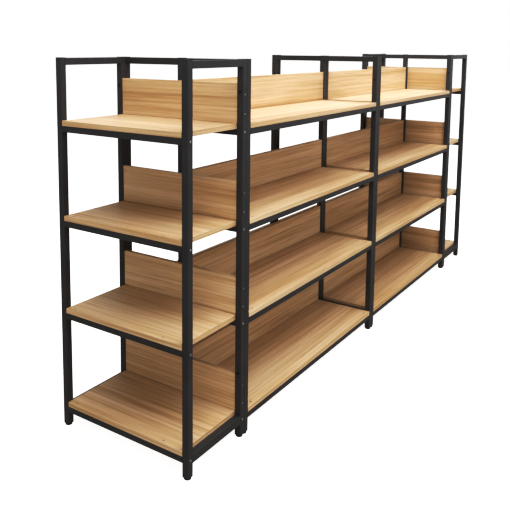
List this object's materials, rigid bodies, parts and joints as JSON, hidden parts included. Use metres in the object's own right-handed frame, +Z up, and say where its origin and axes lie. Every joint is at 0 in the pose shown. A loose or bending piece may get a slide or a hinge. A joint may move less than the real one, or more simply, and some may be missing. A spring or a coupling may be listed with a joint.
{
  "type": "gondola shelving unit",
  "caption": "Free-standing double-sided shop shelving run with end caps: black square-tube frames, wood-effect shelves and low back panels, on screw-in levelling feet.",
  "frame": {"origin": "on the floor under the centre of the run", "axes": "+X along the run, +Y across it to the rear side, +Z up"},
  "size_m": [2.95, 0.5884, 1.35],
  "materials": {
    "black_powder_coat": "fine satin black powder coat on square steel tube",
    "wood_laminate": "light tan laminate board with straight streaked grain and matching edge band",
    "black_plastic": "moulded black plastic",
    "zinc_plate": "dull grey zinc plated steel",
    "black_zinc": "black plated steel"
  },
  "bodies": {
    "shelving": {"left_end_front_frame": "black_powder_coat", "left_end_rear_frame": "black_powder_coat", "right_end_front_frame": "black_powder_coat", "right_end_rear_frame": "black_powder_coat", "left_bay_left_frame": "black_powder_coat", "left_bay_right_frame": "black_powder_coat", "right_bay_left_frame": "black_powder_coat", "right_bay_right_frame": "black_powder_coat", "left_end_beams": "black_powder_coat", "right_end_beams": "black_powder_coat", "left_bay_beams": "black_powder_coat", "right_bay_beams": "black_powder_coat", "left_end_shelf_1": "wood_laminate", "left_end_shelf_2": "wood_laminate", "left_end_shelf_3": "wood_laminate", "left_end_shelf_4": "wood_laminate", "left_bay_shelf_1": "wood_laminate", "left_bay_shelf_2": "wood_laminate", "left_bay_shelf_3": "wood_laminate", "left_bay_shelf_4": "wood_laminate", "right_bay_shelf_1": "wood_laminate", "right_bay_shelf_2": "wood_laminate", "right_bay_shelf_3": "wood_laminate", "right_bay_shelf_4": "wood_laminate", "right_end_shelf_1": "wood_laminate", "right_end_shelf_2": "wood_laminate", "right_end_shelf_3": "wood_laminate", "right_end_shelf_4": "wood_laminate", "left_end_back_panels": "wood_laminate", "left_bay_back_panels": "wood_laminate", "right_bay_back_panels": "wood_laminate", "right_end_back_panels": "wood_laminate", "post_caps": "black_plastic", "foot_inserts": "black_plastic", "beam_bolts": "zinc_plate", "panel_screws": "zinc_plate", "shelf_screws": "zinc_plate", "beam_screws": "black_zinc", "joining_bolts": "black_zinc", "joining_nuts": "black_zinc"},
    "foot_01": {"foot_01": "black_plastic"},
    "foot_02": {"foot_02": "black_plastic"},
    "foot_03": {"foot_03": "black_plastic"},
    "foot_04": {"foot_04": "black_plastic"},
    "foot_05": {"foot_05": "black_plastic"},
    "foot_06": {"foot_06": "black_plastic"},
    "foot_07": {"foot_07": "black_plastic"},
    "foot_08": {"foot_08": "black_plastic"},
    "foot_09": {"foot_09": "black_plastic"},
    "foot_10": {"foot_10": "black_plastic"},
    "foot_11": {"foot_11": "black_plastic"},
    "foot_12": {"foot_12": "black_plastic"},
    "foot_13": {"foot_13": "black_plastic"},
    "foot_14": {"foot_14": "black_plastic"},
    "foot_15": {"foot_15": "black_plastic"},
    "foot_16": {"foot_16": "black_plastic"},
    "foot_17": {"foot_17": "black_plastic"},
    "foot_18": {"foot_18": "black_plastic"},
    "foot_19": {"foot_19": "black_plastic"},
    "foot_20": {"foot_20": "black_plastic"}
  },
  "joints": [
    {"name": "foot_01_screw", "type": "slide", "parent": "shelving", "child": "foot_01", "axis": [0, 0, 1], "range_m": [-0.012, 0]},
    {"name": "foot_02_screw", "type": "slide", "parent": "shelving", "child": "foot_02", "axis": [0, 0, 1], "range_m": [-0.012, 0]},
    {"name": "foot_03_screw", "type": "slide", "parent": "shelving", "child": "foot_03", "axis": [0, 0, 1], "range_m": [-0.012, 0]},
    {"name": "foot_04_screw", "type": "slide", "parent": "shelving", "child": "foot_04", "axis": [0, 0, 1], "range_m": [-0.012, 0]},
    {"name": "foot_05_screw", "type": "slide", "parent": "shelving", "child": "foot_05", "axis": [0, 0, 1], "range_m": [-0.012, 0]},
    {"name": "foot_06_screw", "type": "slide", "parent": "shelving", "child": "foot_06", "axis": [0, 0, 1], "range_m": [-0.012, 0]},
    {"name": "foot_07_screw", "type": "slide", "parent": "shelving", "child": "foot_07", "axis": [0, 0, 1], "range_m": [-0.012, 0]},
    {"name": "foot_08_screw", "type": "slide", "parent": "shelving", "child": "foot_08", "axis": [0, 0, 1], "range_m": [-0.012, 0]},
    {"name": "foot_09_screw", "type": "slide", "parent": "shelving", "child": "foot_09", "axis": [0, 0, 1], "range_m": [-0.012, 0]},
    {"name": "foot_10_screw", "type": "slide", "parent": "shelving", "child": "foot_10", "axis": [0, 0, 1], "range_m": [-0.012, 0]},
    {"name": "foot_11_screw", "type": "slide", "parent": "shelving", "child": "foot_11", "axis": [0, 0, 1], "range_m": [-0.012, 0]},
    {"name": "foot_12_screw", "type": "slide", "parent": "shelving", "child": "foot_12", "axis": [0, 0, 1], "range_m": [-0.012, 0]},
    {"name": "foot_13_screw", "type": "slide", "parent": "shelving", "child": "foot_13", "axis": [0, 0, 1], "range_m": [-0.012, 0]},
    {"name": "foot_14_screw", "type": "slide", "parent": "shelving", "child": "foot_14", "axis": [0, 0, 1], "range_m": [-0.012, 0]},
    {"name": "foot_15_screw", "type": "slide", "parent": "shelving", "child": "foot_15", "axis": [0, 0, 1], "range_m": [-0.012, 0]},
    {"name": "foot_16_screw", "type": "slide", "parent": "shelving", "child": "foot_16", "axis": [0, 0, 1], "range_m": [-0.012, 0]},
    {"name": "foot_17_screw", "type": "slide", "parent": "shelving", "child": "foot_17", "axis": [0, 0, 1], "range_m": [-0.012, 0]},
    {"name": "foot_18_screw", "type": "slide", "parent": "shelving", "child": "foot_18", "axis": [0, 0, 1], "range_m": [-0.012, 0]},
    {"name": "foot_19_screw", "type": "slide", "parent": "shelving", "child": "foot_19", "axis": [0, 0, 1], "range_m": [-0.012, 0]},
    {"name": "foot_20_screw", "type": "slide", "parent": "shelving", "child": "foot_20", "axis": [0, 0, 1], "range_m": [-0.012, 0]}
  ]
}
